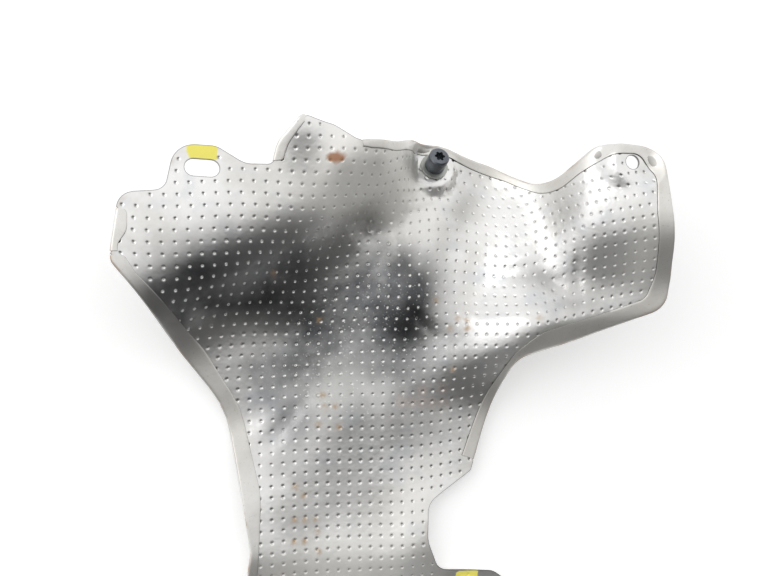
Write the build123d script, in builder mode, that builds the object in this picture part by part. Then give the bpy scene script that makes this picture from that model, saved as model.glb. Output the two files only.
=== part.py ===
# Turbo heat shield: a pressed double sheet with a hemmed edge, and the captive bolt that holds it.
# Millimetres, +Z up. The shield lies as it comes to rest, on its left valley, its toe and the bolt's
# tip. The origin is on the ground, under the middle of the shield.
import math
import os

from build123d import *

# Sheet stack, from the back to the front
SHEET = 0.5  # thickness of each sheet
AIR_GAP = 0.3  # the air layer that the pressed dimples hold open between the sheets
HEM_PLAY = 0.05  # play between the front sheet and the folded hem
STACK = SHEET + AIR_GAP + SHEET  # underside of the back sheet to the top of the front sheet
ROOM = AIR_GAP + SHEET + HEM_PLAY  # space that the folded edge leaves for the front sheet
HEM_STACK = SHEET + ROOM + SHEET
EDGE_PLAY = 0.3  # the front sheet stops this far inside the fold

# Fastening holes: round holes and the slot that takes up tolerance
HOLE_R = 3.5
WING_HOLE = (110, 101)
TOE_HOLE = (42, -107)
SLOT = (-94, 88)
SLOT_LENGTH = 15.5
SLOT_WIDTH = 8.0

# Captive bolt, its washer under the head and the push-on washer that keeps it
BOLT = (24, 105)
BOLT_LEAN = 17.0  # degrees that the bolt's seat leans towards the rear rim
BOLT_R = 3.0
NECK_R = 2.6  # the waisted neck through the sheets, which keeps the bolt captive
NECK_END = 3.0  # from the seat to the thread
BOLT_HOLE_R = 3.4
BOLT_REACH = 12.0  # from the seat to the tip
TIP_CHAMFER = 0.8
HEAD_R = 5.15
HEAD_HEIGHT = 8.6
HEAD_CHAMFER = 0.7
SOCKET_R = 2.75  # six-lobe socket, to the tips of its lobes
SOCKET_WAIST_R = 2.0
SOCKET_LOBE_R = 0.75
SOCKET_DEPTH = 4.0
WASHER_R = 7.0
WASHER_THICK = 1.5
WASHER_BORE_R = 3.1
KEEPER_R = 6.0
KEEPER_BORE_R = 2.7
KEEPER_THICK = 0.8
SEAT_PLAY = 0.3  # play on each side of the washers

# Outline of the shield seen from above, clockwise: corner x, corner y, corner radius
OUTLINE = (
    (-129.6, 74.4, 8),  # left end, top
    (-110, 77, 6),
    (-106.4, 98.5, 11),  # slot tab
    (-88, 98.7, 8),
    (-75, 91.5, 10),
    (-63, 92, 1.5),  # root of the ear
    (-61, 102, 10),
    (-51, 114.5, 3),  # tip of the ear
    (-35, 111.5, 8),
    (-24, 104.5, 6),
    (-3, 108, 20),
    (11, 115.8, 14),
    (27, 118.2, 25),  # rear rim behind the bolt
    (56, 108.5, 30),
    (79, 94.5, 9),
    (95, 110.8, 8),  # right wing
    (123.6, 109.2, 12),
    (127.2, 80, 40),
    (132.9, 46, 18),
    (132.5, 32, 10),
    (92, 17, 60),
    (61, 7, 9),  # lower rim turns into the leg
    (54, -14, 30),
    (43.5, -47, 1.5),  # start of the notch
    (21, -62.5, 9),
    (20, -80, 12),
    (27, -94, 8),
    (56, -95.5, 8),  # toe tab
    (64, -101, 8),
    (64, -117.5, 10),
    (-67, -117.5, 9),
    (-64.4, -83, 14),
    (-76.8, -17.6, 45),
    (-131.6, 43.6, 5),  # left end, bottom
    (-132, 49, 4),
)

# Inner edge of the folded hem, clockwise: corner x, corner y, corner radius. Where this line runs
# outside the outline the two sheets are trimmed flush, with no hem.
HEM_LINE = (
    (-139, 67.5, 0),  # upper strip of the left end
    (-125.6, 67.4, 3),
    (-125.2, 57.5, 6),
    (-129, 51, 4),
    (-128.6, 47.6, 0),
    (-139, 47.6, 0),  # relief cut between the two left strips
    (-139, 46.4, 0),
    (-126, 46.6, 3),
    (-121, 39.5, 10),
    (-88, 9, 30),
    (-70, -17, 40),
    (-60, -58, 40),
    (-60.5, -88, 15),
    (-61, -112.5, 6),  # toe
    (18, -112.5, 0),
    (18, -127, 0),
    (72, -127, 0),
    (72, -90, 0),
    (34, -88, 4),
    (27, -80, 4),
    (28, -66, 4),
    (48, -50, 0),
    (50, -42.5, 0),  # cut end of the right hem
    (38.5, -40.5, 1),
    (50.5, -9, 20),
    (59, 10, 14),
    (70, 19, 20),
    (101, 29, 40),
    (122.5, 36.5, 6),
    (125.5, 48, 14),
    (120.5, 76, 30),
    (120.5, 95, 9),
    (114, 105.5, 7),
    (99.5, 104.5, 9),
    (89, 98, 9),
    (80, 89, 8),
    (62, 100.5, 20),
    (30, 113.2, 20),
    (12, 110.8, 10),
    (-3, 103.6, 16),
    (-17, 101.4, 4),
    (-22.5, 101.6, 0),
    (-23, 110, 0),  # trimmed top of the ear
    (-34, 119, 0),
    (-47.5, 120, 0),
    (-48.5, 112, 2),  # hem of the ear's open side
    (-56, 101, 8),
    (-58, 93.6, 0),
    (-67, 93.2, 0),
    (-72, 98, 0),  # trimmed slot tab
    (-86, 108, 0),
    (-108, 108, 0),
    (-116, 98, 0),
    (-116, 86, 0),
    (-139, 84, 0),
)

# Pressed forms, each a smooth swelling: middle x, middle y, half length, half width, turn, height
KNUCKLE = (4, 40, 11, 14, 0, 8)
CHEEK = (66, 46, 10, 22, 0, 4.5)
ARCH = (-20, 104, 15, 15, 0, 9)
EAR = (-52, 114, 9, 12, 0, 8)
LIP = (60, 16, 24, 13, 15, 19)
LEG_DOME = (-19, -14, 22, 20, 0, 5)
NOTCH_LIP = (16, -78, 9, 15, 0, 5)
BOLT_VALLEY = (50, 102, 26, 18, 0, -9)
LEFT_VALLEY = (-44, 12, 16, 14, 0, -7.9)
LEG_DENT = (-70, -26, 15, 14, 0, -4.5)
LEG_TROUGH = (-16, -76, 26, 16, 0, -3)
POCKET = (-12, 73, 7, 6, 0, -4)
FORMS = (
    KNUCKLE,
    CHEEK,
    ARCH,
    EAR,
    LIP,
    LEG_DOME,
    NOTCH_LIP,
    BOLT_VALLEY,
    LEFT_VALLEY,
    LEG_DENT,
    LEG_TROUGH,
    POCKET,
)

# Shelves and ramps of the pressing
GROUND_LEVEL = 6.0  # height of the leg and of the middle
SHELF_RISE = 33.0  # the high left shelf, behind a slanting slope
SHELF_TURN = 122.0
SHELF_START = 72.0
SHELF_SOFT = 8.0
SHELF_END_X = 6.0
SHELF_END_SOFT = 4.5
PANEL_RISE = 8.0  # the right half stands on a low step
PANEL_X = 2.0
PANEL_X_SOFT = 3.0
PANEL_Y = 22.0
PANEL_Y_SOFT = 4.0
RAMP_SLOPE = 0.36  # long ramp up to the right wing
RAMP_X = 48.0
RAMP_X_SOFT = 6.0
RAMP_Y = -11.0
RAMP_Y_SOFT = 6.0
WING_RISE = 22.0  # steep wall of the right wing
WING_X = 83.0
WING_X_SOFT = 4.5
WING_Y = 55.0
WING_Y_SOFT = 8.0
TOE_DROP = 5.9  # the toe comes down to the ground
TOE_Y = -93.0
TOE_SOFT = 4.0

# Flat pads round the fastenings
WING_PAD_LEVEL = 58.0
TOE_PAD_LEVEL = 0.3
PAD_FLAT = 7.5
PAD_BLEND = 16.0
SEAT_FLAT = 8.5
SEAT_BLEND = 16.0

LEAN = math.radians(BOLT_LEAN)
TIP_DROP = BOLT_REACH * math.cos(LEAN) + (BOLT_R - TIP_CHAMFER) * math.sin(LEAN)
SEAT_LEVEL = TIP_DROP - STACK  # back sheet at the seat, so that the bolt's tip just meets the ground

# Grid of points that carries the pressed surface
GRID_HALF_X = 144
GRID_HALF_Y = 132
GRID_PITCH = 6
SURFACE_TOLERANCE = 0.3
TALL = 2 * WING_PAD_LEVEL  # the cutters reach well above the wing
BELOW = -10.0


def soft_step(t):
    """Rises smoothly from 0 to 1 around t = 0."""
    return 1 / (1 + math.exp(-max(-40.0, min(40.0, t))))


def soft_ramp(t):
    """Zero for t well below 0, and t well above it."""
    return math.log1p(math.exp(min(t, 40.0))) + max(t - 40.0, 0.0)


def swelling(x, y, form):
    """Height that one pressed form adds at a point."""
    mid_x, mid_y, half_length, half_width, turn, height = form
    angle = math.radians(turn)
    along = (x - mid_x) * math.cos(angle) + (y - mid_y) * math.sin(angle)
    across = (y - mid_y) * math.cos(angle) - (x - mid_x) * math.sin(angle)
    return height * math.exp(-0.5 * ((along / half_length) ** 2 + (across / half_width) ** 2))


def pad_share(x, y, centre, flat, blend):
    """1 on a pad's flat middle, easing to 0 at its blend radius."""
    reach = math.hypot(x - centre[0], y - centre[1])
    t = max(0.0, min(1.0, (blend - reach) / (blend - flat)))
    return t * t * (3 - 2 * t)


def sheet_height(x, y):
    """Height of the back sheet's underside over the ground."""
    shelf_turn = math.radians(SHELF_TURN)
    shelf_way = x * math.cos(shelf_turn) + y * math.sin(shelf_turn) - SHELF_START
    shelf = soft_step(shelf_way / SHELF_SOFT) * soft_step((SHELF_END_X - x) / SHELF_END_SOFT)
    panel = soft_step((x - PANEL_X) / PANEL_X_SOFT) * soft_step((y - PANEL_Y) / PANEL_Y_SOFT)
    ramp = RAMP_X_SOFT * soft_ramp((x - RAMP_X) / RAMP_X_SOFT) * soft_step((y - RAMP_Y) / RAMP_Y_SOFT)
    wing = soft_step((x - WING_X) / WING_X_SOFT) * soft_step((y - WING_Y) / WING_Y_SOFT)
    toe = soft_step((TOE_Y - y) / TOE_SOFT)
    height = GROUND_LEVEL + SHELF_RISE * shelf + PANEL_RISE * panel + RAMP_SLOPE * ramp
    height += WING_RISE * wing - TOE_DROP * toe
    height += sum(swelling(x, y, form) for form in FORMS)
    seat = SEAT_LEVEL - (y - BOLT[1]) * math.tan(LEAN)
    for centre, level, flat, blend in (
        (WING_HOLE, WING_PAD_LEVEL, PAD_FLAT, PAD_BLEND),
        (TOE_HOLE, TOE_PAD_LEVEL, PAD_FLAT, PAD_BLEND),
        (BOLT, seat, SEAT_FLAT, SEAT_BLEND),
    ):
        share = pad_share(x, y, centre, flat, blend)
        height += share * (level - height)
    return height


def grid_line(half):
    """Grid positions from -half to half."""
    return range(-half, half + 1, GRID_PITCH)


def closed_outline(corners):
    """Closed line through rounded corners."""
    points = [(x, y) for x, y, radius in corners]
    return FilletPolyline(*points, radius=[radius for x, y, radius in corners], close=True)


def raised(lift):
    """The pressed surface, lifted straight up."""
    return pressed.moved(Location((0, 0, lift)))


pressed = Face.make_surface_from_array_of_points(
    [[Vector(x, y, sheet_height(x, y)) for y in grid_line(GRID_HALF_Y)] for x in grid_line(GRID_HALF_X)],
    tol=SURFACE_TOLERANCE,
)
ground = Plane.XY.offset(BELOW)
seat_plane = Plane(
    origin=(BOLT[0], BOLT[1], SEAT_LEVEL + STACK),
    x_dir=(1, 0, 0),
    z_dir=(0, math.sin(LEAN), math.cos(LEAN)),
)

# Blanks seen from above
with BuildSketch(ground) as blank:
    with BuildLine():
        closed_outline(OUTLINE)
    make_face()

with BuildSketch(ground) as hem_opening:
    with BuildLine():
        closed_outline(HEM_LINE)
    make_face()

with BuildSketch(ground) as room_blank:
    offset(blank.sketch, amount=-SHEET)
    add(hem_opening.sketch)

with BuildSketch(ground) as front_blank:
    offset(blank.sketch, amount=-(SHEET + EDGE_PLAY))
    add(hem_opening.sketch)
    add(blank.sketch, mode=Mode.INTERSECT)

# Everything that is punched through both sheets
with BuildPart() as punched:
    with BuildSketch(ground):
        with Locations(SLOT):
            SlotOverall(SLOT_LENGTH, SLOT_WIDTH)
        with Locations(WING_HOLE, TOE_HOLE):
            Circle(HOLE_R)
    extrude(amount=TALL)
    with BuildSketch(seat_plane):
        Circle(BOLT_HOLE_R)
    extrude(amount=BOLT_REACH / 2, both=True)

# Space between the back sheet and its hem, which holds the front sheet's edge
with BuildPart() as front_room:
    extrude(raised(SHEET), amount=ROOM, dir=(0, 0, 1))
    extrude(room_blank.sketch, amount=TALL, mode=Mode.INTERSECT)

# Everything above the back sheet inside the hem's inner edge
with BuildPart() as hem_mouth:
    extrude(raised(SHEET + ROOM / 2), amount=HEM_STACK, dir=(0, 0, 1))
    extrude(hem_opening.sketch, amount=TALL, mode=Mode.INTERSECT)

with BuildPart() as back_sheet:
    extrude(pressed, amount=HEM_STACK, dir=(0, 0, 1))
    extrude(blank.sketch, amount=TALL, mode=Mode.INTERSECT)
    add(front_room.part, mode=Mode.SUBTRACT)
    add(hem_mouth.part, mode=Mode.SUBTRACT)
    add(punched.part, mode=Mode.SUBTRACT)

with BuildPart() as front_sheet:
    extrude(raised(SHEET + AIR_GAP), amount=SHEET, dir=(0, 0, 1))
    extrude(front_blank.sketch, amount=TALL, mode=Mode.INTERSECT)
    add(punched.part, mode=Mode.SUBTRACT)

# Captive bolt: round head with a six-lobe socket, a waisted neck and a chamfered thread
with BuildPart() as bolt:
    with BuildSketch(seat_plane.offset(-BOLT_REACH)):
        Circle(BOLT_R)
    extrude(amount=BOLT_REACH - NECK_END)
    with BuildSketch(seat_plane.offset(-NECK_END)):
        Circle(NECK_R)
    extrude(amount=NECK_END + WASHER_THICK + 2 * SEAT_PLAY)
    tip_edge = bolt.edges().filter_by(GeomType.CIRCLE).sort_by(Axis.Z)[0]
    chamfer(tip_edge, TIP_CHAMFER)
    with BuildSketch(seat_plane.offset(WASHER_THICK + 2 * SEAT_PLAY)):
        Circle(HEAD_R)
    extrude(amount=HEAD_HEIGHT)
    head_top = bolt.faces().sort_by(Axis(seat_plane.origin, seat_plane.z_dir))[-1]
    chamfer(head_top.edges(), HEAD_CHAMFER)
    with BuildSketch(seat_plane.offset(WASHER_THICK + HEAD_HEIGHT + 2 * SEAT_PLAY)):
        Circle(SOCKET_WAIST_R)
        with PolarLocations(SOCKET_R - SOCKET_LOBE_R, 6):
            Circle(SOCKET_LOBE_R)
    extrude(amount=-SOCKET_DEPTH, mode=Mode.SUBTRACT)

with BuildPart() as bolt_washer:
    with BuildSketch(seat_plane.offset(SEAT_PLAY)):
        Circle(WASHER_R)
        Circle(WASHER_BORE_R, mode=Mode.SUBTRACT)
    extrude(amount=WASHER_THICK)

with BuildPart() as keeper_washer:
    with BuildSketch(seat_plane.offset(-STACK - SEAT_PLAY)):
        Circle(KEEPER_R)
        Circle(KEEPER_BORE_R, mode=Mode.SUBTRACT)
    extrude(amount=-KEEPER_THICK)

os.makedirs("parts", exist_ok=True)
for piece, name in (
    (back_sheet, "back_sheet"),
    (front_sheet, "front_sheet"),
    (bolt, "bolt"),
    (bolt_washer, "bolt_washer"),
    (keeper_washer, "keeper_washer"),
):
    piece.part.label = name
    export_step(piece.part, f"parts/{name}.step")
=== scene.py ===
import math

import bpy
import numpy as np
from mathutils import Matrix, Vector
from mathutils.geometry import delaunay_2d_cdt


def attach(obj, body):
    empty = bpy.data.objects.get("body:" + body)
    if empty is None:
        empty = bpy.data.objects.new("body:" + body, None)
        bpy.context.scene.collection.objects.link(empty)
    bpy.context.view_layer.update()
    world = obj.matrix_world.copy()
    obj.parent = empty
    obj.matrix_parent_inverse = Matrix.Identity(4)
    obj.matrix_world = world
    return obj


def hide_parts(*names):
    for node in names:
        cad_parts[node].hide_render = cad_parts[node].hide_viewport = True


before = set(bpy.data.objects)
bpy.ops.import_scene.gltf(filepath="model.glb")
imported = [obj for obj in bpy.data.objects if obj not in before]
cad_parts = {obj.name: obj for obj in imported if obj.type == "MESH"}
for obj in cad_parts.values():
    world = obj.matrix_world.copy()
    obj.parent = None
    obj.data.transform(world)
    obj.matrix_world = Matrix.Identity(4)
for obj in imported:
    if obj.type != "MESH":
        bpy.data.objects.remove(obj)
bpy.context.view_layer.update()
MM = 0.001

# Sheet stack
SHEET = 0.5
AIR_GAP = 0.3
STACK = SHEET + AIR_GAP + SHEET
HEM_STACK = STACK + 0.05 + SHEET
FOLD_R = HEM_STACK / 2  # the hem's rolled edge
HEM_LEAST = 0.6  # a narrower hem is left out
HEM_MOST = 12.0
HEM_SHORTEST = 4  # outline steps of the shortest hem
FLAP_SHARES = (0.15, 0.3, 0.45, 0.6, 0.75, 0.9)  # points across the hem's flap
EDGE_PLAY = 0.3

# Fastenings
HOLE_R = 3.5
WING_HOLE = (110, 101)
TOE_HOLE = (42, -107)
SLOT = (-94, 88)
SLOT_LENGTH = 15.5
SLOT_WIDTH = 8.0
BOLT = (24, 105)
BOLT_LEAN = math.radians(17.0)
BOLT_R = 3.0
BOLT_HOLE_R = 3.4
BOLT_REACH = 12.0
TIP_CHAMFER = 0.8
SEAT_LEVEL = BOLT_REACH * math.cos(BOLT_LEAN) + (BOLT_R - TIP_CHAMFER) * math.sin(BOLT_LEAN) - STACK

# Outline seen from above, clockwise: corner x, corner y, corner radius
OUTLINE = (
    (-129.6, 74.4, 8),  # left end, top
    (-110, 77, 6),
    (-106.4, 98.5, 11),  # slot tab
    (-88, 98.7, 8),
    (-75, 91.5, 10),
    (-63, 92, 1.5),  # root of the ear
    (-61, 102, 10),
    (-51, 114.5, 3),  # tip of the ear
    (-35, 111.5, 8),
    (-24, 104.5, 6),
    (-3, 108, 20),
    (11, 115.8, 14),
    (27, 118.2, 25),  # rear rim behind the bolt
    (56, 108.5, 30),
    (79, 94.5, 9),
    (95, 110.8, 8),  # right wing
    (123.6, 109.2, 12),
    (127.2, 80, 40),
    (132.9, 46, 18),
    (132.5, 32, 10),
    (92, 17, 60),
    (61, 7, 9),  # lower rim turns into the leg
    (54, -14, 30),
    (43.5, -47, 1.5),  # start of the notch
    (21, -62.5, 9),
    (20, -80, 12),
    (27, -94, 8),
    (56, -95.5, 8),  # toe tab
    (64, -101, 8),
    (64, -117.5, 10),
    (-67, -117.5, 9),
    (-64.4, -83, 14),
    (-76.8, -17.6, 45),
    (-131.6, 43.6, 5),  # left end, bottom
    (-132, 49, 4),
)

# Inner edge of the hem, clockwise. Outside the outline there is no hem.
HEM_LINE = (
    (-139, 67.5, 0),  # upper strip of the left end
    (-125.6, 67.4, 3),
    (-125.2, 57.5, 6),
    (-129, 51, 4),
    (-128.6, 47.6, 0),
    (-139, 47.6, 0),  # relief cut between the two left strips
    (-139, 46.4, 0),
    (-126, 46.6, 3),
    (-121, 39.5, 10),
    (-88, 9, 30),
    (-70, -17, 40),
    (-60, -58, 40),
    (-60.5, -88, 15),
    (-61, -112.5, 6),  # toe
    (18, -112.5, 0),
    (18, -127, 0),
    (72, -127, 0),
    (72, -90, 0),
    (34, -88, 4),
    (27, -80, 4),
    (28, -66, 4),
    (48, -50, 0),
    (50, -42.5, 0),  # cut end of the right hem
    (38.5, -40.5, 1),
    (50.5, -9, 20),
    (59, 10, 14),
    (70, 19, 20),
    (101, 29, 40),
    (122.5, 36.5, 6),
    (125.5, 48, 14),
    (120.5, 76, 30),
    (120.5, 95, 9),
    (114, 105.5, 7),
    (99.5, 104.5, 9),
    (89, 98, 9),
    (80, 89, 8),
    (62, 100.5, 20),
    (30, 113.2, 20),
    (12, 110.8, 10),
    (-3, 103.6, 16),
    (-17, 101.4, 4),
    (-22.5, 101.6, 0),
    (-23, 110, 0),  # trimmed top of the ear
    (-34, 119, 0),
    (-47.5, 120, 0),
    (-48.5, 112, 2),  # hem of the ear's open side
    (-56, 101, 8),
    (-58, 93.6, 0),
    (-67, 93.2, 0),
    (-72, 98, 0),  # trimmed slot tab
    (-86, 108, 0),
    (-108, 108, 0),
    (-116, 98, 0),
    (-116, 86, 0),
    (-139, 84, 0),
)

# Pressed forms: middle x, middle y, half length, half width, turn, height
FORMS = (
    (4, 40, 11, 14, 0, 8),  # knuckle
    (66, 46, 10, 22, 0, 4.5),  # cheek
    (-20, 104, 15, 15, 0, 9),  # arch
    (-52, 114, 9, 12, 0, 8),  # ear
    (60, 16, 24, 13, 15, 19),  # lip
    (-19, -14, 22, 20, 0, 5),  # leg dome
    (16, -78, 9, 15, 0, 5),  # notch lip
    (50, 102, 26, 18, 0, -9),  # bolt valley
    (-44, 12, 16, 14, 0, -7.9),  # left valley
    (-70, -26, 15, 14, 0, -4.5),  # leg dent
    (-16, -76, 26, 16, 0, -3),  # leg trough
    (-12, 73, 7, 6, 0, -4),  # pocket
)

# Dents, ribs and creases too fine for the pressing tool: same layout as the forms
DENTS = (
    (17, 93, 11, 1.3, 18, 0.8),  # ribs in front of the bolt
    (19, 90, 11, 1.3, 22, 0.8),
    (19.5, 86.5, 9, 1.3, 22, 0.7),
    (63, 57, 8, 2.4, 18, 0.8),  # ridge on the cheek, with a hollow before it
    (64, 52, 9, 3.0, 18, -0.8),
    (72, 46, 7, 2.8, -4, -0.9),
    (80, 43, 5, 2.6, -45, -0.9),
    (90, 50, 9, 1.5, 96, -1.2),  # crease at the foot of the wing
    (7, 72, 7, 1.5, 90, -1.2),  # step beside the knuckle
    (-47, -21, 15, 3.2, 53, -1.2),  # fold on the leg
    (-60, -27, 8, 4.5, 42, 1.0),
    (15, 25, 6, 1.6, -40, -1.4),  # edge of the dark middle
    (-33, 93, 6, 4.5, 60, 1.2),  # bright facet before the ear
    (-20, 78, 8, 3.0, 20, 1.2),  # lip over the pocket
    (-36, 4, 7, 2.0, 60, 1.0),  # edge of the cloudy dome
)

# Round mark pressed into the pocket: middle x, middle y, radius
POCKET_RING = (-9, 71.5, 2.8)
RING_RISE = 0.5
RING_WIDTH = 0.7
DENT_FADE = 5.0  # dents fade out over this distance from the bolt's seat

# Shelves and ramps of the pressing
GROUND_LEVEL = 6.0
SHELF_RISE = 33.0
SHELF_TURN = math.radians(122.0)
SHELF_START = 72.0
SHELF_SOFT = 8.0
SHELF_END_X = 6.0
SHELF_END_SOFT = 4.5
PANEL_RISE = 8.0
PANEL_X = 2.0
PANEL_X_SOFT = 3.0
PANEL_Y = 22.0
PANEL_Y_SOFT = 4.0
RAMP_SLOPE = 0.36
RAMP_X = 48.0
RAMP_X_SOFT = 6.0
RAMP_Y = -11.0
RAMP_Y_SOFT = 6.0
WING_RISE = 22.0
WING_X = 83.0
WING_X_SOFT = 4.5
WING_Y = 55.0
WING_Y_SOFT = 8.0
TOE_DROP = 5.9
TOE_Y = -93.0
TOE_SOFT = 4.0

# Flat pads round the fastenings
WING_PAD_LEVEL = 58.0
TOE_PAD_LEVEL = 0.3
PAD_FLAT = 7.5
PAD_BLEND = 16.0
SEAT_FLAT = 8.5
SEAT_BLEND = 16.0

# Dimples: a square lattice on the flat blank, drawn along as the sheet was pressed
DIMPLE_PITCH = 5.5
DIMPLE_R = 1.25
DIMPLE_DEPTH = 0.5
DIMPLE_EDGE = 1.2  # bare metal kept to the outline and the holes
LATTICE_U = (46.5, 0.062, -0.017, 5.4e-4, -1.6e-4, -3.0e-4)  # offset, x, y, xx, xy, yy
LATTICE_V = (54.4, -0.060, 0.036, -5.5e-4, -1.6e-4, -2.4e-4)
EDGE_SHADOW_WIDTH = 0.45  # width of the painted shadow line along the cut edges
TAB_DRIFT = 0.2  # the rows lean towards the slot tab
TAB_DRIFT_X = -65.0
TAB_DRIFT_SOFT = 15.0
LATTICE_ROWS = np.arange(-30, 50)
LATTICE_COLUMNS = np.arange(-35, 45)
# Rings of points about each dimple: radius and count
RINGS = ((0.28, 6), (0.58, 8), (0.88, 10), (1.2, 12), (1.6, 12))

# Camera of the photograph
IMAGE_WIDTH = 768
FOCAL_PIXELS = 950
CAMERA_SPOT = (-122.2, -33.3, 457.8)
CAMERA_RIGHT = (0.9656, 0.0, 0.2600)
CAMERA_BACK = (-0.2566, -0.1605, 0.9531)

# Studio, in metres and watts
TABLE_HALF = 1.5
TABLE_WHITE = (0.88, 0.88, 0.88, 1)
TABLE_GLOW = 0.3
SKY_DARK = 0.12  # level in front of the shield
SKY_RISE = 0.94  # added overhead and behind
SKY_EDGE = (-0.62, -0.02)  # where the level starts and stops rising
SKY_LEAN = -0.25
KEY_SPOT = (-0.9, 0.4, 0.9)
KEY_SIZE = 0.9
KEY_POWER = 3.2


def soft_step(t):
    """1 / (1 + e^-t): rises smoothly from 0 to 1."""
    return 1 / (1 + np.exp(-np.clip(t, -40, 40)))


def soft_ramp(t):
    """log(1 + e^t): zero well below 0, and t well above it."""
    return np.logaddexp(0, t)


def swelling(x, y, form):
    """A bell e^(-(a/l)^2/2 - (c/w)^2/2) times its height, in the form's own turned axes a and c."""
    mid_x, mid_y, half_length, half_width, turn, height = form
    angle = math.radians(turn)
    along = (x - mid_x) * math.cos(angle) + (y - mid_y) * math.sin(angle)
    across = (y - mid_y) * math.cos(angle) - (x - mid_x) * math.sin(angle)
    return height * np.exp(-0.5 * ((along / half_length) ** 2 + (across / half_width) ** 2))


def smooth(t):
    """3t^2 - 2t^3 between 0 and 1."""
    t = np.clip(t, 0, 1)
    return t * t * (3 - 2 * t)


def sheet_height(x, y):
    """Height of the back sheet's underside: shelves, ramps and swellings summed, then eased into pads."""
    shelf_way = x * math.cos(SHELF_TURN) + y * math.sin(SHELF_TURN) - SHELF_START
    shelf = soft_step(shelf_way / SHELF_SOFT) * soft_step((SHELF_END_X - x) / SHELF_END_SOFT)
    panel = soft_step((x - PANEL_X) / PANEL_X_SOFT) * soft_step((y - PANEL_Y) / PANEL_Y_SOFT)
    ramp = RAMP_X_SOFT * soft_ramp((x - RAMP_X) / RAMP_X_SOFT) * soft_step((y - RAMP_Y) / RAMP_Y_SOFT)
    wing = soft_step((x - WING_X) / WING_X_SOFT) * soft_step((y - WING_Y) / WING_Y_SOFT)
    toe = soft_step((TOE_Y - y) / TOE_SOFT)
    height = GROUND_LEVEL + SHELF_RISE * shelf + PANEL_RISE * panel + RAMP_SLOPE * ramp
    height = height + WING_RISE * wing - TOE_DROP * toe
    for form in FORMS:
        height = height + swelling(x, y, form)
    seat = SEAT_LEVEL - (y - BOLT[1]) * math.tan(BOLT_LEAN)
    for centre, level, flat, blend in (
        (WING_HOLE, WING_PAD_LEVEL, PAD_FLAT, PAD_BLEND),
        (TOE_HOLE, TOE_PAD_LEVEL, PAD_FLAT, PAD_BLEND),
        (BOLT, seat, SEAT_FLAT, SEAT_BLEND),
    ):
        reach = np.hypot(x - centre[0], y - centre[1])
        share = smooth((blend - reach) / (blend - flat))
        height = height + share * (level - height)
    return height


def dented_height(x, y):
    """Sheet height with the fine dents, ribs and creases, which fade out at the bolt's seat."""
    away = smooth((np.hypot(x - BOLT[0], y - BOLT[1]) - SEAT_FLAT) / DENT_FADE)
    ring_x, ring_y, ring_r = POCKET_RING
    ring = RING_RISE * np.exp(-(((np.hypot(x - ring_x, y - ring_y) - ring_r) / RING_WIDTH) ** 2))
    return sheet_height(x, y) + ring + away * sum(swelling(x, y, dent) for dent in DENTS)


def rounded_line(corners, arc_step=0.12):
    """Closed line through corners, each cut by an arc tangent to both of its sides."""
    spots = np.array([corner[:2] for corner in corners], float)
    points = []
    for k, corner in enumerate(corners):
        here, radius = spots[k], corner[2]
        back = spots[k - 1] - here
        ahead = spots[(k + 1) % len(spots)] - here
        back = back / np.linalg.norm(back)
        ahead = ahead / np.linalg.norm(ahead)
        half_angle = 0.5 * math.acos(float(np.clip(back @ ahead, -1, 1)))
        if radius == 0 or half_angle > 1.55:
            points.append(here[None])
            continue
        start = here + back * radius / math.tan(half_angle)
        middle = here + (back + ahead) / np.linalg.norm(back + ahead) * radius / math.sin(half_angle)
        first = math.atan2(*(start - middle)[::-1])
        sweep = math.pi - 2 * half_angle
        turn = -math.copysign(sweep, back[0] * ahead[1] - back[1] * ahead[0])
        angles = first + np.linspace(0, turn, max(3, int(abs(turn) / arc_step)))
        points.append(middle + radius * np.stack([np.cos(angles), np.sin(angles)], 1))
    return np.concatenate(points)


def resample(loop, step):
    """Points at equal steps along a closed line."""
    closed = np.concatenate([loop, loop[:1]])
    lengths = np.concatenate([[0], np.cumsum(np.linalg.norm(np.diff(closed, axis=0), axis=1))])
    count = int(lengths[-1] / step)
    along = np.arange(count) * lengths[-1] / count
    return np.stack([np.interp(along, lengths, closed[:, axis]) for axis in (0, 1)], 1)


def inside(points, loop):
    """True for points inside a closed line: to the right, its sides are crossed an odd number of times."""
    ahead = np.roll(loop, -1, axis=0)
    sloped = loop[:, 1] != ahead[:, 1]
    (ax, ay), (bx, by) = loop[sloped].T, ahead[sloped].T
    blocks = []
    for block in np.array_split(points, 1 + len(points) // 2000):
        x, y = block[:, :1], block[:, 1:]
        spans = (ay > y) != (by > y)
        crossed = spans & (x < ax + (y - ay) * (bx - ax) / (by - ay))
        blocks.append(crossed.sum(1) % 2 == 1)
    return np.concatenate(blocks)


def inward_normals(loop):
    """Unit normals of a closed line, pointing to its inside."""
    tangent = np.roll(loop, -1, axis=0) - np.roll(loop, 1, axis=0)
    tangent = tangent / np.linalg.norm(tangent, axis=1, keepdims=True)
    normal = np.stack([tangent[:, 1], -tangent[:, 0]], 1)
    probe = loop[:1] + 0.01 * normal[:1]
    return normal if inside(probe, loop)[0] else -normal


def circle(centre, radius, count=48):
    """Closed ring of points."""
    angles = np.linspace(0, 2 * math.pi, count, endpoint=False)
    return np.array(centre) + radius * np.stack([np.cos(angles), np.sin(angles)], 1)


def slot_line():
    """Rounded slot: two half circles joined by straight sides."""
    half = (SLOT_LENGTH - SLOT_WIDTH) / 2
    ring = circle((0, 0), SLOT_WIDTH / 2, 56)
    ring[:, 0] += np.where(ring[:, 0] > 0, half, -half)
    return resample(ring + np.array(SLOT), 0.6)


def bolt_hole_line():
    """The leaning bolt's round hole, seen from above."""
    ring = circle((0, 0), BOLT_HOLE_R)
    return ring * np.array([1, math.cos(BOLT_LEAN)]) + np.array(BOLT)


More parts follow.
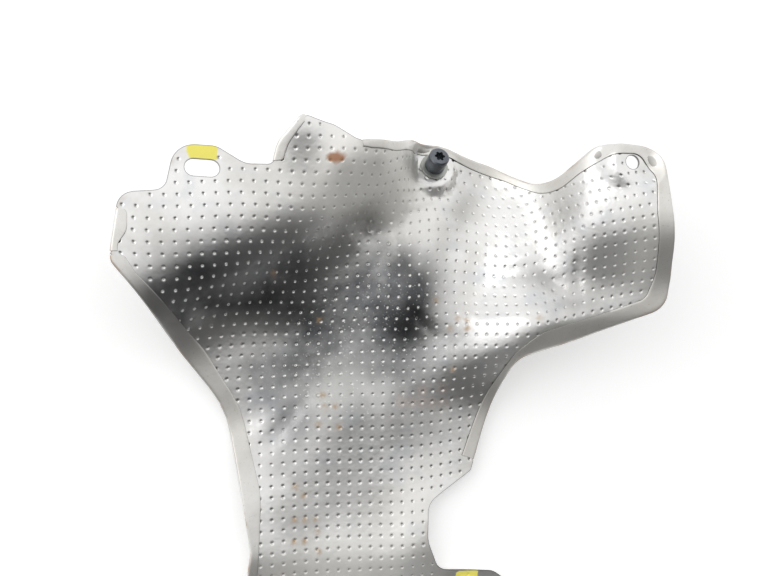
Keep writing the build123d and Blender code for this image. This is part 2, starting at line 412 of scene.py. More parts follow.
def hem_widths(loop, normals):
    """Distance from each outline point along its inward normal to the hem line, 0 with no hem."""
    line = rounded_line(HEM_LINE)
    start, side = line, np.roll(line, -1, axis=0) - line
    gap = start[None] - loop[:, None]
    cross = normals[:, None, 0] * side[None, :, 1] - normals[:, None, 1] * side[None, :, 0]
    cross = np.where(np.abs(cross) < 1e-9, 1e-9, cross)
    reach = (gap[..., 0] * side[None, :, 1] - gap[..., 1] * side[None, :, 0]) / cross
    where = (gap[..., 0] * normals[:, None, 1] - gap[..., 1] * normals[:, None, 0]) / cross
    reach = np.where((where >= 0) & (where <= 1) & (reach > 0), reach, np.inf)
    return np.where(inside(loop, line), 0, np.minimum(reach.min(1), HEM_MOST))


class Lattice:
    """Dimple lattice: arc length along x and along y over the pressed sheet, with a slight drift, counted
    in pitches."""

    def __init__(self, step=1.0, half=150):
        self.step, self.half = step, half
        line = np.arange(-half, half + step, step)
        x, y = np.meshgrid(line, line, indexing="ij")
        height = sheet_height(x, y)
        middle = len(line) // 2
        self.u = self.arc_length(height, 0, middle) + self.drift(LATTICE_U, x, y)
        self.v = self.arc_length(height, 1, middle) + self.drift(LATTICE_V, x, y)
        self.v += TAB_DRIFT * soft_ramp((TAB_DRIFT_X - x) / TAB_DRIFT_SOFT) * TAB_DRIFT_SOFT

    def arc_length(self, height, axis, middle):
        stretch = np.hypot(1, np.gradient(height, self.step, axis=axis))
        total = np.cumsum(stretch, axis=axis) * self.step
        return total - np.take(total, [middle], axis=axis)

    @staticmethod
    def drift(terms, x, y):
        return sum(k * t for k, t in zip(terms, (1, x, y, x * x, x * y, y * y)))

    def sample(self, field, x, y):
        """Bilinear reading of a field."""
        px = np.clip((x + self.half) / self.step, 0, field.shape[0] - 1.001)
        py = np.clip((y + self.half) / self.step, 0, field.shape[1] - 1.001)
        i, j = px.astype(int), py.astype(int)
        p, q = px - i, py - j
        near = field[i, j] * (1 - p) + field[i + 1, j] * p
        far = field[i, j + 1] * (1 - p) + field[i + 1, j + 1] * p
        return near * (1 - q) + far * q

    def counts(self, x, y):
        """Lattice position of a plan point, in pitches."""
        return self.sample(self.u, x, y) / DIMPLE_PITCH, self.sample(self.v, x, y) / DIMPLE_PITCH

    def spot(self, a, b):
        """Plan point of a lattice position, by repeated correction."""
        x = (a - a.mean()) * DIMPLE_PITCH * 0.9
        y = (b - b.mean()) * DIMPLE_PITCH * 0.9
        for _ in range(60):
            u, v = self.counts(x, y)
            x = np.clip(x + 0.6 * DIMPLE_PITCH * (a - u), -self.half, self.half)
            y = np.clip(y + 0.6 * DIMPLE_PITCH * (b - v), -self.half, self.half)
        return np.stack([x, y], 1)


def line_distance(points, loop):
    """Least distance from points to a closed line."""
    best = np.full(len(points), np.inf)
    for a, b in zip(loop, np.roll(loop, -1, axis=0)):
        side = b - a
        t = np.clip(((points - a) @ side) / max(side @ side, 1e-12), 0, 1)
        best = np.minimum(best, np.hypot(*(points - a - t[:, None] * side).T))
    return best


def make_object(name, points, faces, material, smooth_angle=35):
    """Mesh object at the origin from points in millimetres."""
    mesh = bpy.data.meshes.new(name)
    mesh.from_pydata((np.asarray(points) * MM).tolist(), [], faces)
    mesh.validate()
    mesh.polygons.foreach_set("use_smooth", np.ones(len(mesh.polygons), bool))
    mesh.set_sharp_from_angle(angle=math.radians(smooth_angle))
    mesh.materials.append(material)
    thing = bpy.data.objects.new(name, mesh)
    bpy.context.scene.collection.objects.link(thing)
    return thing


def triangulate(loops, extra):
    """Triangles inside the first loop and outside the others, through the extra points too."""
    points = np.concatenate(list(loops) + [extra])
    edges = []
    first = 0
    for loop in loops:
        count = len(loop)
        index = np.arange(count)
        edges += np.column_stack([first + index, first + (index + 1) % count]).tolist()
        first += count
    flat, _, faces, _, _, _ = delaunay_2d_cdt([Vector(p) for p in points.tolist()], edges, [], 0, 1e-5)
    flat = np.array([tuple(p) for p in flat])
    faces = np.array(faces)
    middles = flat[faces].mean(1)
    keep = inside(middles, loops[0])
    for loop in loops[1:]:
        keep &= ~inside(middles, loop)
    return flat, faces[keep]


def border_edges(faces):
    """Edges that only one triangle has, in that triangle's direction."""
    edges = np.concatenate([faces[:, (0, 1)], faces[:, (1, 2)], faces[:, (2, 0)]])
    keys = np.sort(edges, axis=1)
    _, index, count = np.unique(keys, axis=0, return_index=True, return_counts=True)
    return edges[index[count == 1]]


def closed_sheet(flat, faces, low, high):
    """Closed shell: the triangles at two heights, joined by a wall along their border."""
    top = np.column_stack([flat, high])
    bottom = np.column_stack([flat, low])
    count = len(flat)
    border = border_edges(faces)
    walls = np.column_stack([border[:, 1], border[:, 0], border[:, 0] + count, border[:, 1] + count])
    shells = faces.tolist() + (faces[:, ::-1] + count).tolist() + walls.tolist()
    return np.concatenate([top, bottom]), shells


def matching(points, others):
    """For each of the others, the index of the point at the same place, or 0 where there is none."""
    both = np.round(np.concatenate([points, others]), 3)
    _, first, place = np.unique(both, axis=0, return_index=True, return_inverse=True)
    found = first[place.ravel()[len(points) :]]
    return np.where(found < len(points), found, 0)


def grid_points(loop, step, margin):
    """Square grid of points inside a closed line, clear of it by a margin."""
    low, high = loop.min(0), loop.max(0)
    x, y = np.meshgrid(np.arange(low[0], high[0], step), np.arange(low[1], high[1], step))
    points = np.column_stack([x.ravel(), y.ravel()])
    points = points[inside(points, loop)]
    return points[line_distance(points, loop) > margin]


def add_attribute(thing, name, values):
    """Point attribute that the material reads as a mask."""
    layer = thing.data.attributes.new(name, "FLOAT", "POINT")
    layer.data.foreach_set("value", np.asarray(values, np.float32))


# Node helpers
def new_material(name):
    """Material with its nodes, its links and its shader."""
    material = bpy.data.materials.new(name)
    material.use_nodes = True
    nodes = material.node_tree.nodes
    return material, nodes, material.node_tree.links, nodes["Principled BSDF"]


def mix_colour(nodes, links, share, first, second):
    """Colour between two, each a socket or a plain colour."""
    node = nodes.new("ShaderNodeMix")
    node.data_type = "RGBA"
    for socket, value in ((node.inputs[0], share), (node.inputs[6], first), (node.inputs[7], second)):
        if isinstance(value, bpy.types.NodeSocket):
            links.new(value, socket)
        else:
            socket.default_value = value
    return node.outputs[2]


def math_node(nodes, links, operation, *values):
    """Math node with sockets or numbers as inputs."""
    node = nodes.new("ShaderNodeMath")
    node.operation = operation
    for socket, value in zip(node.inputs, values):
        if isinstance(value, bpy.types.NodeSocket):
            links.new(value, socket)
        else:
            socket.default_value = value
    return node.outputs[0]


def noise(nodes, links, scale, detail=4.0, roughness=0.55):
    """Noise on object coordinates."""
    spot = nodes.new("ShaderNodeTexCoord")
    node = nodes.new("ShaderNodeTexNoise")
    node.inputs["Scale"].default_value = scale
    node.inputs["Detail"].default_value = detail
    node.inputs["Roughness"].default_value = roughness
    links.new(spot.outputs["Object"], node.inputs["Vector"])
    return node.outputs["Fac"]


def between(nodes, links, value, low, high):
    """0 below low, 1 above high, eased between."""
    node = nodes.new("ShaderNodeMapRange")
    node.interpolation_type = "SMOOTHSTEP"
    links.new(value, node.inputs["Value"])
    node.inputs["From Min"].default_value = low
    node.inputs["From Max"].default_value = high
    return node.outputs["Result"]


def mask(nodes, name):
    """A piece's own point attribute."""
    node = nodes.new("ShaderNodeAttribute")
    node.attribute_name = name
    return node.outputs["Fac"]


def grime_group():
    """Group: cloudy heat stain and fine speckle as masks, grain and slow waves as heights."""
    group = bpy.data.node_groups.new("heat_grime", "ShaderNodeTree")
    for name in ("Cloud", "Speckle", "Grain", "Wave"):
        group.interface.new_socket(name, in_out="OUTPUT", socket_type="NodeSocketFloat")
    nodes, links = group.nodes, group.links
    out = nodes.new("NodeGroupOutput")
    cloud = between(nodes, links, noise(nodes, links, 28, 6, 0.6), 0.36, 0.68)
    speckle = between(nodes, links, noise(nodes, links, 900, 3, 0.7), 0.62, 0.72)
    grain = noise(nodes, links, 420, 5, 0.6)
    wave = noise(nodes, links, 75, 3, 0.5)
    for socket, value in zip(out.inputs, (cloud, speckle, grain, wave)):
        links.new(value, socket)
    return group


GRIME = grime_group()


def grime(nodes):
    """Outputs of the shared grime group."""
    node = nodes.new("ShaderNodeGroup")
    node.node_tree = GRIME
    return node.outputs


def bump(nodes, links, bsdf, height, strength, distance):
    """Fine relief on a shader's normal."""
    node = nodes.new("ShaderNodeBump")
    node.inputs["Strength"].default_value = strength
    node.inputs["Distance"].default_value = distance
    links.new(height, node.inputs["Height"])
    links.new(node.outputs["Normal"], bsdf.inputs["Normal"])


def front_material():
    """Dimpled aluminised steel: cloudy stain, dark patches that are partly heat stain and partly painted
    shade, pale patches of painted highlight, painted shade and painted highlights in the dimples, rust in
    single dimples, paint marks and a painted shadow along the cut edges.
    """
    material, nodes, links, bsdf = new_material("dimpled_steel")
    cloud, speckle, grain, wave = grime(nodes)[:4]
    colour = mix_colour(nodes, links, cloud, (0.86, 0.855, 0.845, 1), (0.70, 0.69, 0.665, 1))
    blue = math_node(nodes, links, "MULTIPLY", between(nodes, links, wave, 0.5, 0.75), 0.45)
    colour = mix_colour(nodes, links, blue, colour, (0.58, 0.61, 0.65, 1))
    patchy = math_node(nodes, links, "MULTIPLY_ADD", cloud, 0.25, 0.7)
    pit = between(nodes, links, mask(nodes, "pit"), 0.15, 0.75)
    outside_pits = math_node(nodes, links, "MULTIPLY_ADD", pit, -0.85, 1.0)
    # Dark patches, partly heat stain and partly painted shade where the sheet faces dark surroundings; the
    # pits are mostly spared them.
    soot_and_shade_share = math_node(nodes, links, "MULTIPLY", mask(nodes, "soot_and_shade"), patchy)
    # Outside the dark patches the pits get painted shade: darker dimples standing in for the dark
    # reflection in their walls.
    pit_shade_share = math_node(nodes, links, "SUBTRACT", 0.75, soot_and_shade_share)
    pit_shade = math_node(nodes, links, "MULTIPLY", pit, pit_shade_share)
    pit_shade = math_node(nodes, links, "MAXIMUM", pit_shade, 0.0)
    soot_and_shade_share = math_node(nodes, links, "MULTIPLY", soot_and_shade_share, outside_pits)
    colour = mix_colour(nodes, links, soot_and_shade_share, colour, (0.06, 0.062, 0.068, 1))
    cloudy = math_node(nodes, links, "MULTIPLY", mask(nodes, "cloudy"), 0.55)
    colour = mix_colour(nodes, links, cloudy, colour, (0.42, 0.42, 0.40, 1))
    blotch = math_node(nodes, links, "MULTIPLY_ADD", cloud, -0.25, 0.9)
    pit_shade = math_node(nodes, links, "MULTIPLY", pit_shade, 0.75)
    # Painted highlight: pale patches standing in for bright reflections.
    painted_highlight_share = math_node(nodes, links, "MULTIPLY", mask(nodes, "painted_highlight"), blotch)
    colour = mix_colour(nodes, links, painted_highlight_share, colour, (0.80, 0.785, 0.74, 1))
    colour = mix_colour(nodes, links, pit_shade, colour, (0.20, 0.195, 0.18, 1))
    # Inside the dark patches the pits get a painted highlight: pale dots standing in for the bright
    # reflection in each pit.
    deep_soot_and_shade = between(nodes, links, mask(nodes, "soot_and_shade"), 0.2, 0.7)
    painted_pit_highlight = math_node(nodes, links, "MULTIPLY", pit, deep_soot_and_shade)
    painted_pit_highlight = math_node(nodes, links, "MULTIPLY", painted_pit_highlight, 0.7)
    colour = mix_colour(nodes, links, painted_pit_highlight, colour, (0.80, 0.80, 0.78, 1))
    scuffed = math_node(nodes, links, "MULTIPLY", mask(nodes, "scuff"), speckle)
    colour = mix_colour(nodes, links, scuffed, colour, (0.80, 0.80, 0.78, 1))
    ringed = math_node(nodes, links, "MULTIPLY", mask(nodes, "ring"), 0.7)
    colour = mix_colour(nodes, links, ringed, colour, (0.56, 0.44, 0.38, 1))
    patch = between(nodes, links, grain, 0.3, 0.55)
    worn_patch = between(nodes, links, wave, 0.5, 0.65)
    worn = math_node(nodes, links, "MULTIPLY", mask(nodes, "edge"), worn_patch)
    rusty = math_node(nodes, links, "MULTIPLY", mask(nodes, "rust"), patch)
    rusty = math_node(nodes, links, "MAXIMUM", rusty, math_node(nodes, links, "MULTIPLY", worn, 0.2))
    colour = mix_colour(nodes, links, rusty, colour, (0.44, 0.27, 0.11, 1))
    bare = mask(nodes, "bare")
    colour = mix_colour(nodes, links, bare, colour, (0.42, 0.22, 0.13, 1))
    paint = between(nodes, links, mask(nodes, "paint"), 0.42, 0.52)
    colour = mix_colour(nodes, links, paint, colour, (0.95, 0.86, 0.17, 1))
    # Painted shadow: a thin dark line along the cut edges and the holes.
    edge_shadow = math_node(nodes, links, "MULTIPLY", mask(nodes, "edge_shadow"), 0.9)
    colour = mix_colour(nodes, links, edge_shadow, colour, (0.10, 0.10, 0.11, 1))
    links.new(colour, bsdf.inputs["Base Color"])
    cover = math_node(nodes, links, "MAXIMUM", paint, math_node(nodes, links, "MAXIMUM", bare, rusty))
    dull = math_node(nodes, links, "MAXIMUM", cover, math_node(nodes, links, "MULTIPLY", scuffed, 0.6))
    dull = math_node(nodes, links, "MAXIMUM", dull, math_node(nodes, links, "MULTIPLY", painted_highlight_share, 0.85))
    dull = math_node(nodes, links, "MAXIMUM", dull, math_node(nodes, links, "MULTIPLY", painted_pit_highlight, 0.7))
    links.new(math_node(nodes, links, "SUBTRACT", 1.0, dull), bsdf.inputs["Metallic"])
    rough = math_node(nodes, links, "MULTIPLY_ADD", cloud, 0.08, 0.27)
    rough = math_node(nodes, links, "MULTIPLY_ADD", painted_highlight_share, 0.12, rough)
    rough = math_node(nodes, links, "MULTIPLY_ADD", soot_and_shade_share, 0.10, rough)
    rough = math_node(nodes, links, "MULTIPLY_ADD", cloudy, 0.25, rough)
    rough = math_node(nodes, links, "MULTIPLY_ADD", cover, 0.30, rough)
    links.new(rough, bsdf.inputs["Roughness"])
    relief = math_node(nodes, links, "MULTIPLY_ADD", wave, 4.0, grain)
    bump(nodes, links, bsdf, relief, 0.35, 0.00025)
    return material


def back_material():
    """Smooth aluminised steel of the back sheet and its hem, rust-stained along the cut edges, with dark
    patches that are partly heat stain and partly painted shade, and a painted shadow on the hem's cut
    edge.
    """
    material, nodes, links, bsdf = new_material("smooth_steel")
    cloud, speckle, grain, wave = grime(nodes)[:4]
    colour = mix_colour(nodes, links, cloud, (0.78, 0.77, 0.74, 1), (0.65, 0.63, 0.59, 1))
    # Dark patches, partly heat stain and partly painted shade.
    soot_and_shade_share = math_node(nodes, links, "MULTIPLY", mask(nodes, "soot_and_shade"), 0.7)
    colour = mix_colour(nodes, links, soot_and_shade_share, colour, (0.10, 0.10, 0.105, 1))
    specks = math_node(nodes, links, "MULTIPLY", speckle, 0.4)
    colour = mix_colour(nodes, links, specks, colour, (0.30, 0.22, 0.15, 1))
    worn_patch = between(nodes, links, wave, 0.5, 0.7)
    worn = math_node(nodes, links, "MULTIPLY", mask(nodes, "edge"), worn_patch)
    rusty = math_node(nodes, links, "MULTIPLY", worn, 0.7)
    colour = mix_colour(nodes, links, rusty, colour, (0.33, 0.18, 0.08, 1))
    # Painted shadow on the hem's cut edge.
    cut = math_node(nodes, links, "MULTIPLY", mask(nodes, "cut"), 0.9)
    colour = mix_colour(nodes, links, cut, colour, (0.05, 0.045, 0.04, 1))
    links.new(colour, bsdf.inputs["Base Color"])
    metal = math_node(nodes, links, "MULTIPLY_ADD", rusty, -0.7, 0.75)
    links.new(metal, bsdf.inputs["Metallic"])
    rough = math_node(nodes, links, "MULTIPLY_ADD", cloud, 0.12, 0.3)
    links.new(math_node(nodes, links, "MULTIPLY_ADD", rusty, 0.3, rough), bsdf.inputs["Roughness"])
    relief = math_node(nodes, links, "MULTIPLY_ADD", wave, 3.0, grain)
    bump(nodes, links, bsdf, relief, 0.3, 0.0002)
    return material


def bolt_material():
    """Black phosphated steel, with a bluish sheen where it is rubbed."""
    material, nodes, links, bsdf = new_material("black_phosphate")
    cloud, speckle, grain = grime(nodes)[:3]
    colour = mix_colour(nodes, links, cloud, (0.11, 0.12, 0.135, 1), (0.20, 0.215, 0.24, 1))
    colour = mix_colour(nodes, links, speckle, colour, (0.30, 0.31, 0.33, 1))
    links.new(colour, bsdf.inputs["Base Color"])
    bsdf.inputs["Metallic"].default_value = 0.9
    links.new(math_node(nodes, links, "MULTIPLY_ADD", cloud, 0.14, 0.24), bsdf.inputs["Roughness"])
    bump(nodes, links, bsdf, grain, 0.2, 0.0002)
    return material


def washer_material():
    """Dull zinc, darker where it is stained."""
    material, nodes, links, bsdf = new_material("dull_zinc")
    cloud, speckle, grain = grime(nodes)[:3]
    colour = mix_colour(nodes, links, cloud, (0.42, 0.43, 0.41, 1), (0.28, 0.285, 0.27, 1))
    colour = mix_colour(nodes, links, speckle, colour, (0.20, 0.19, 0.17, 1))
    links.new(colour, bsdf.inputs["Base Color"])
    bsdf.inputs["Metallic"].default_value = 0.9
    links.new(math_node(nodes, links, "MULTIPLY_ADD", cloud, 0.15, 0.36), bsdf.inputs["Roughness"])
    bump(nodes, links, bsdf, grain, 0.2, 0.0002)
    return material


outline = resample(rounded_line(OUTLINE), 1.0)
inward = inward_normals(outline)
hem_width = hem_widths(outline, inward)
hemmed = hem_width > HEM_LEAST
holes = [slot_line(), circle(WING_HOLE, HOLE_R), circle(TOE_HOLE, HOLE_R), bolt_hole_line()]
lattice = Lattice()


def lattice_spots():
    """Dimples that stand clear of the outline and the holes: their places and a table by lattice count."""
    a, b = np.meshgrid(LATTICE_ROWS, LATTICE_COLUMNS, indexing="ij")
    a, b = a.ravel(), b.ravel()
    spots = lattice.spot(a.astype(float), b.astype(float))
    u, v = lattice.counts(spots[:, 0], spots[:, 1])
    good = (np.hypot(u - a, v - b) < 0.02) & inside(spots, outline)
    good[good] = line_distance(spots[good], outline) > DIMPLE_EDGE + 0.6
    for hole in holes:
        near = good.copy()
        near[good] = (line_distance(spots[good], hole) < DIMPLE_EDGE) | inside(spots[good], hole)
        good &= ~near
    return spots[good], good.reshape(len(LATTICE_ROWS), len(LATTICE_COLUMNS))


def dimple_depth(points, wanted):
    """Depth at plan points: a round pit, D times smooth(1 - r / R), about the nearest dimple."""
    u, v = lattice.counts(points[:, 0], points[:, 1])
    near_u, near_v = np.round(u).astype(int), np.round(v).astype(int)
    row = np.clip(near_u - LATTICE_ROWS[0], 0, len(LATTICE_ROWS) - 1)
    column = np.clip(near_v - LATTICE_COLUMNS[0], 0, len(LATTICE_COLUMNS) - 1)
    there = wanted[row, column]
    reach = np.hypot(u - near_u, v - near_v) * DIMPLE_PITCH
    return np.where(there, DIMPLE_DEPTH * smooth(1 - reach / DIMPLE_R), 0)


def front_sheet():
    """Front sheet: rings of points round each dimple, cut to the outline, lifted to the pressed height
    less the dimples' pits, over a coarser underside."""
    spots, wanted = lattice_spots()
    edge = np.where(hemmed, SHEET + EDGE_PLAY, 0.05)
    rim = resample(outline + inward * edge[:, None], 1.0)
    x, y = spots.T
    slope_x = sheet_height(x + 0.5, y) - sheet_height(x - 0.5, y)
    slope_y = sheet_height(x, y + 0.5) - sheet_height(x, y - 0.5)
    squeeze = np.column_stack([1 / np.hypot(1, slope_x), 1 / np.hypot(1, slope_y)])
    clouds = [spots]
    for radius, count in RINGS:
        ring = circle((0, 0), radius, count)
        clouds.append((spots[:, None] + ring[None] * squeeze[:, None]).reshape(-1, 2))
    for shift in ((0.5, 0.5), (0.5, 0.0), (0.0, 0.5)):
        clouds.append(spots + np.array(shift) * DIMPLE_PITCH * squeeze)
    cloud = np.concatenate(clouds)
    cloud = cloud[inside(cloud, rim)]
    cloud = cloud[line_distance(cloud, rim) > EDGE_SHADOW_WIDTH + 0.3]
    for hole in holes:
        cloud = cloud[~inside(cloud, hole)]
        cloud = cloud[line_distance(cloud, hole) > EDGE_SHADOW_WIDTH + 0.3]
    trims = [hole - EDGE_SHADOW_WIDTH * inward_normals(hole) for hole in holes]
    cloud = np.concatenate([cloud, rim + EDGE_SHADOW_WIDTH * inward_normals(rim)] + trims)
    flat, faces = triangulate([rim] + holes, cloud)
    height = dented_height(flat[:, 0], flat[:, 1]) + STACK
    pit = dimple_depth(flat, wanted)
    top = height - pit
    coarse, coarse_faces = triangulate([rim] + holes, grid_points(rim, 4.0, 1.5))
    low = dented_height(coarse[:, 0], coarse[:, 1]) + STACK - SHEET
    below = border_edges(coarse_faces)
    above = matching(flat, coarse)[below]
    points = np.concatenate([np.column_stack([flat, top]), np.column_stack([coarse, low])])
    first = len(flat)
    walls = np.column_stack([above[:, 1], above[:, 0], below[:, 0] + first, below[:, 1] + first])
    shells = faces.tolist() + (coarse_faces[:, ::-1] + first).tolist() + walls.tolist()
    share = np.concatenate([pit / DIMPLE_DEPTH, np.zeros(len(coarse))])
    # The last value marks the thin band along the cut edges and holes that gets a painted shadow.
    reach = np.min([line_distance(points[:, :2], line) for line in [rim] + holes], axis=0)
    return points, shells, share, reach < EDGE_SHADOW_WIDTH / 3


def spot_mask(points, spots, radius):
    """Soft round spots at listed places."""
    result = np.zeros(len(points))
    for x, y in spots:
        reach = (points[:, 0] - x) ** 2 + (points[:, 1] - y) ** 2
        result = np.maximum(result, np.exp(-reach / radius**2))
    return result


front_points, front_faces, pit_share, edge_shadow_share = front_sheet()
front = make_object("dimpled_front", front_points, front_faces, front_material(), 60)
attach(front, "root")
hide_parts("front_sheet")

# Dark patches, partly heat stain and partly painted shade where the sheet faces dark surroundings: middle
# x, middle y, half length, half width, turn, strength
SOOT_AND_SHADE = (
    (-92, 32, 20, 9, 3, 0.95),  # band along the slanting slope
    (-50, 35, 24, 9, -2, 0.75),
    (-72, 54, 24, 8, 6, 0.55),
    (-46, 52, 14, 9, 0, 0.5),
    (-92, 46, 11, 7, 25, 0.4),
    (-106, 22, 14, 6, -50, 0.7),  # hem beside the slope
    (-8, 31, 18, 10, -12, 0.95),
    (8, 36, 12, 9, 0, 0.5),
    (-6, 51, 10, 10, 0, 0.75),
    (10, 50, 9, 11, 0, 0.45),
    (4, 65, 8, 8, 0, 0.35),
    (24, 46, 8, 10, 0, 0.3),
    (-24, 17, 17, 9, 0, 1.0),
    (-57, 3, 16, 8, 10, 0.85),
    (-36, 4, 9, 7, 0, 0.7),
    (-12, 3, 13, 7, 0, 0.45),
    (-15, 74, 8, 4.5, 10, 0.75),  # pocket
    (12, 8, 16, 9, 0, 0.75),
    (36, 18, 9, 7, 0, 0.5),
    (52, 20, 8, 6, 0, 0.25),
    (16, -10, 16, 8, 0, 0.5),
    (-55, -13, 9, 8, 0, 0.8),  # leg, round the fold and the dome
    (-43, -22, 13, 6, 60, 0.85),
    (-18, -16, 10, 8, 0, 0.35),
    (4, -29, 30, 7, 0, 0.45),
    (-44, -44, 16, 7, 0, 0.35),
    (-41, -70, 11, 6, 25, 0.45),
    (76, 48, 11, 5, 0, 0.6),  # foot of the wing
    (88, 34, 12, 5, 15, 0.4),
    (91, 79, 7, 14, 0, 0.4),
    (107, 53, 16, 12, 15, 0.35),
    (38, 82, 18, 5, 58, 0.35),  # crease below the bolt
    (-3, 75, 6, 13, 0, 0.4),
)

# Dimples with rust, and dimples with pinkish rings
RUST_SPOTS = (
    (23, 36),
    (34, 27),
    (38, 26),
    (38, 22),
    (30, 22),
    (69, 26),
    (-33, 26),
    (-58, 45),
    (-31, -17),
    (-26, -16),
    (-34, -25),
    (-44, -54),
    (-40, -58),
    (-44, -69),
    (-39, -69),
    (-34, -69),
    (-44, -79),
    (-39, -79),
    (-33, -75),
    (-32, -84),
    (-32, -11),
    (-24, -26),
    (32, 2),
)
RING_SPOTS = ((7, -14), (12, -14), (18, -14), (23, -14), (18, -8), (28, -7), (29, -14))


# Painted highlight: pale, rougher, less metallic patches that stay bright under any light, standing in for
# bright reflections
PAINTED_HIGHLIGHT_PATCHES = (
    (-22, 98, 16, 12, 0, 0.95),
    (1, 90, 10, 17, 0, 0.8),
    (-44, 82, 18, 8, 15, 0.6),
    (-30, 91, 6, 4, 0, 0.6),
    (-30, 78, 10, 6, 0, 0.7),
    (120, 60, 8, 14, 0, 0.5),
    (16, 82, 12, 12, 0, 0.4),
    (108, 52, 18, 14, 0, 0.3),
    (-20, -92, 45, 9, 0, 0.8),
    (0, -66, 30, 14, 0, 0.4),
    (72, 13, 20, 6, 20, 0.4),
)


def stain(points, patches):
    """Sum of a stain's bells, at most 1."""
    return np.clip(sum(swelling(points[:, 0], points[:, 1], patch) for patch in patches), 0, 1)


def edge_share(points, reach):
    """1 on the outline, easing to 0 at a distance inside it."""
    return smooth(1 - line_distance(points, outline) / reach)


xy = front_points[:, :2]
add_attribute(front, "pit", pit_share)
# Thin band for the painted shadow along the cut edges.
add_attribute(front, "edge_shadow", edge_shadow_share)
# Dark patches, partly heat stain and partly painted shade.
add_attribute(front, "soot_and_shade", stain(xy, SOOT_AND_SHADE))
# Pale patches of painted highlight.
add_attribute(front, "painted_highlight", stain(xy, PAINTED_HIGHLIGHT_PATCHES))
add_attribute(front, "rust", 0.8 * spot_mask(xy, RUST_SPOTS, 1.25))
add_attribute(front, "ring", spot_mask(xy, RING_SPOTS, 2.2) - spot_mask(xy, RING_SPOTS, 1.0))
add_attribute(front, "edge", edge_share(xy, 3.0))
add_attribute(front, "scuff", np.clip(swelling(xy[:, 0], xy[:, 1], (-8, 6, 36, 34, 0, 1.2)), 0, 1))
add_attribute(front, "cloudy", np.clip(swelling(xy[:, 0], xy[:, 1], (-26, -7, 10, 11, 0, 1.2)), 0, 1))
add_attribute(front, "bare", smooth(3.0 - 2.5 * np.hypot((xy[:, 0] + 34) / 4.0, (xy[:, 1] - 96) / 2.2)))
paint_tab = np.maximum(np.abs(xy[:, 0] + 94.3) / 6.6, np.abs(xy[:, 1] - 96.5) / 4.4)
paint_toe = np.maximum(np.abs(xy[:, 0] - 42.5) / 5.5, np.abs(xy[:, 1] + 98) / 2.6)
add_attribute(front, "paint", np.clip(1.5 - np.minimum(paint_tab, paint_toe), 0, 1))


def back_plate():
    """Back sheet without its hem, inset where the rolled hem stands."""
    edge = np.where(hemmed, FOLD_R, 0.0)
    rim = resample(outline + inward * edge[:, None], 1.2)
    flat, faces = triangulate([rim] + holes, grid_points(rim, 3.0, 1.0))
    height = dented_height(flat[:, 0], flat[:, 1])
    return closed_sheet(flat, faces, height, height + SHEET)


def hem_strip(first, last, offset):
    """One hem: a closed section (flap, rolled edge, return under the sheet) carried along part of the
    outline. Its faces are numbered from an offset."""
    index = np.arange(first, last + 1) % len(outline)
    spot, normal, width = outline[index], inward[index], hem_width[index]
    count = len(index)
    roll = np.radians(np.linspace(90, 270, 9))
    roll_in = FOLD_R + FOLD_R * np.cos(roll)
    roll_up = FOLD_R + FOLD_R * np.sin(roll)
    ones = np.ones(count)
    section = [
        (width, STACK + 0.02),
        (width, HEM_STACK - 0.12),
        (width - 0.15, HEM_STACK),
    ]
    section += [(width + (FOLD_R - width) * share, HEM_STACK + 0.03) for share in FLAP_SHARES]
    section += [(ones * r, up) for r, up in zip(roll_in, roll_up)]
    under = ones * (FOLD_R + 0.6)
    section += [(under, -0.02), (under, SHEET / 2), (ones * FOLD_R, STACK + 0.02)]
    rows = []
    for inset, up in section:
        plan = spot + normal * inset[:, None]
        rows.append(np.column_stack([plan, dented_height(plan[:, 0], plan[:, 1]) + up]))
    points = np.stack(rows, 1)
    ring = points.shape[1]
    base = np.arange(count - 1)[:, None] * ring + np.arange(ring)[None]
    ahead = np.arange(count - 1)[:, None] * ring + np.roll(np.arange(ring), -1)[None]
    quads = np.stack([base, base + ring, ahead + ring, ahead], -1).reshape(-1, 4)
    caps = np.stack([np.arange(ring), np.arange(count * ring - 1, (count - 1) * ring - 1, -1)])
    # The flap's cut edge, marked for a painted shadow.
    cut = np.tile(np.arange(ring) < 2, count)
    return points.reshape(-1, 3), (quads + offset).tolist() + (caps + offset).tolist(), cut


def hem_runs():
    """First and last outline index of each hemmed stretch; the last one may pass the outline's start."""
    starts = np.flatnonzero(hemmed & ~np.roll(hemmed, 1))
    ends = np.flatnonzero(hemmed & ~np.roll(hemmed, -1))
    ends = np.concatenate([ends, ends[:1] + len(outline)])
    return np.column_stack([starts, ends[np.searchsorted(ends, starts)]])


back_points, back_faces = back_plate()
pieces, hem_edge_shadows = [back_points], [np.zeros(len(back_points), bool)]
for start, end in hem_runs():
    if end - start >= HEM_SHORTEST:
        strip_points, strip_faces, cut = hem_strip(start, end, sum(len(piece) for piece in pieces))
        back_faces += strip_faces
        pieces.append(strip_points)
        hem_edge_shadows.append(cut)
hem_points = np.concatenate(pieces)
back = make_object("hemmed_back", hem_points, back_faces, back_material(), 40)
# Dark patches on the back, partly heat stain and partly painted shade.
add_attribute(back, "soot_and_shade", stain(hem_points[:, :2], SOOT_AND_SHADE))
add_attribute(back, "edge", edge_share(hem_points[:, :2], 1.2))
# The hem's cut edge, for a painted shadow.
add_attribute(back, "cut", np.concatenate(hem_edge_shadows))
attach(back, "root")
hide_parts("back_sheet")

# Bolt and washers
zinc = washer_material()
for node, material in (("bolt", bolt_material()), ("bolt_washer", zinc), ("keeper_washer", zinc)):
    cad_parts[node].material_slots[0].material = material


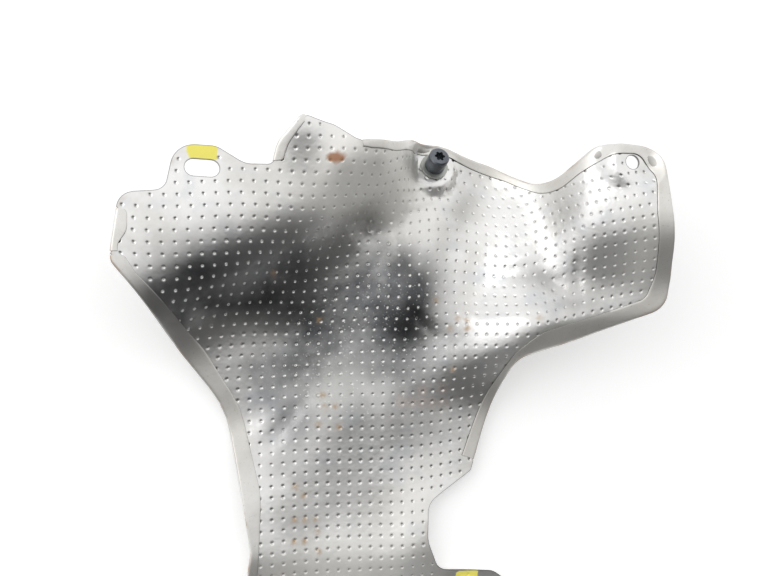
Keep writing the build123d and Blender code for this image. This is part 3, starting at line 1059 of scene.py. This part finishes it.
def floor_material():
    """White table with no gloss. Its own glow makes it white to the camera, and it keeps the shadow."""
    material, nodes, links, bsdf = new_material("white_table")
    bsdf.inputs["Base Color"].default_value = TABLE_WHITE
    bsdf.inputs["Roughness"].default_value = 1.0
    bsdf.inputs["Specular IOR Level"].default_value = 0.0
    bsdf.inputs["Emission Color"].default_value = (1, 1, 1, 1)
    seen = nodes.new("ShaderNodeLightPath")
    rays = math_node(nodes, links, "ADD", seen.outputs["Is Camera Ray"], seen.outputs["Is Glossy Ray"])
    rays = math_node(nodes, links, "ADD", rays, seen.outputs["Is Transmission Ray"])
    glow = math_node(nodes, links, "MULTIPLY", rays, TABLE_GLOW)
    links.new(glow, bsdf.inputs["Emission Strength"])
    return material


def make_floor():
    """Flat table under the shield."""
    mesh = bpy.data.meshes.new("table")
    half = TABLE_HALF
    corners = [(-half, -half, 0), (half, -half, 0), (half, half, 0), (-half, half, 0)]
    mesh.from_pydata(corners, [], [(0, 1, 2, 3)])
    mesh.materials.append(floor_material())
    table = bpy.data.objects.new("table", mesh)
    bpy.context.scene.collection.objects.link(table)


def make_world():
    """Soft studio: bright overhead and behind, dark in front."""
    world = bpy.data.worlds.new("studio")
    bpy.context.scene.world = world
    world.use_nodes = True
    nodes, links = world.node_tree.nodes, world.node_tree.links
    way = nodes.new("ShaderNodeTexCoord")
    split = nodes.new("ShaderNodeSeparateXYZ")
    links.new(way.outputs["Generated"], split.inputs[0])
    front_way = math_node(nodes, links, "MULTIPLY_ADD", split.outputs[0], SKY_LEAN, split.outputs[1])
    light = between(nodes, links, front_way, *SKY_EDGE)
    level = math_node(nodes, links, "MULTIPLY_ADD", light, SKY_RISE, SKY_DARK)
    links.new(level, nodes["Background"].inputs["Strength"])
    nodes["Background"].inputs["Color"].default_value = (1, 1, 1, 1)


def make_lamp(name, spot, aim, size, power):
    """Square area lamp turned to a point."""
    lamp = bpy.data.lights.new(name, "AREA")
    lamp.size = size
    lamp.energy = power
    thing = bpy.data.objects.new(name, lamp)
    thing.location = spot
    thing.rotation_euler = (Vector(aim) - Vector(spot)).to_track_quat("-Z", "Y").to_euler()
    bpy.context.scene.collection.objects.link(thing)


def make_camera():
    """Camera of the photograph, from its place and its own axes."""
    camera = bpy.data.cameras.new("photo_camera")
    camera.sensor_width = 36.0
    camera.lens = camera.sensor_width * FOCAL_PIXELS / IMAGE_WIDTH
    camera.clip_start = 0.01
    thing = bpy.data.objects.new("photo_camera", camera)
    back_way = Vector(CAMERA_BACK).normalized()
    right = Vector(CAMERA_RIGHT)
    right = (right - back_way * right.dot(back_way)).normalized()
    up = back_way.cross(right)
    turn = Matrix((right, up, back_way)).transposed().to_4x4()
    thing.matrix_world = Matrix.Translation(Vector(CAMERA_SPOT) * MM) @ turn
    bpy.context.scene.collection.objects.link(thing)
    bpy.context.scene.camera = thing


make_floor()
make_world()
make_lamp("key", KEY_SPOT, (0, 0, 0), KEY_SIZE, KEY_POWER)
make_camera()
bpy.context.scene.view_settings.view_transform = "Standard"
